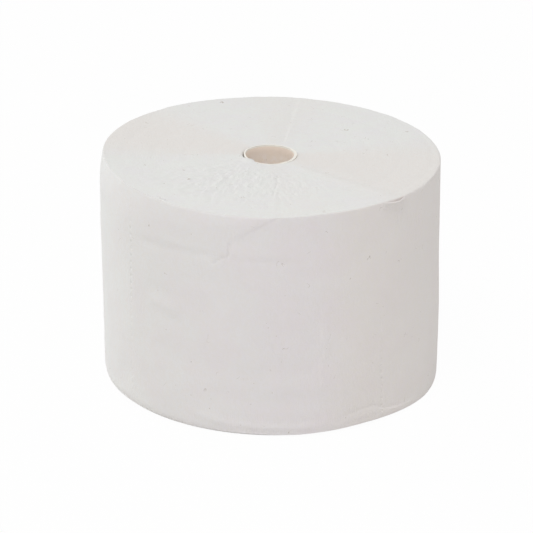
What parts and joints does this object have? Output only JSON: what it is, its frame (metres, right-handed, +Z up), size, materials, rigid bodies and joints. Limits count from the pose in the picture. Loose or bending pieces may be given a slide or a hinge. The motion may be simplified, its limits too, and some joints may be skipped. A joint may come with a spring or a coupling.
{
  "type": "toilet paper roll",
  "caption": "Plain white toilet paper roll with a narrow board core, perforated sheets, a loose outer edge and soft creases.",
  "frame": {"origin": "bottom centre of the standing roll, on the axis of its tube", "axes": "+Z up the roll's axis, -Y to the front that the picture shows, +X to its right"},
  "size_m": [0.1317, 0.1314, 0.09],
  "materials": {
    "tissue": "matte, finely creped",
    "greyboard": "matte"
  },
  "bodies": {
    "root": {"tissue_winding": "tissue", "core_tube": "greyboard"}
  },
  "joints": []
}
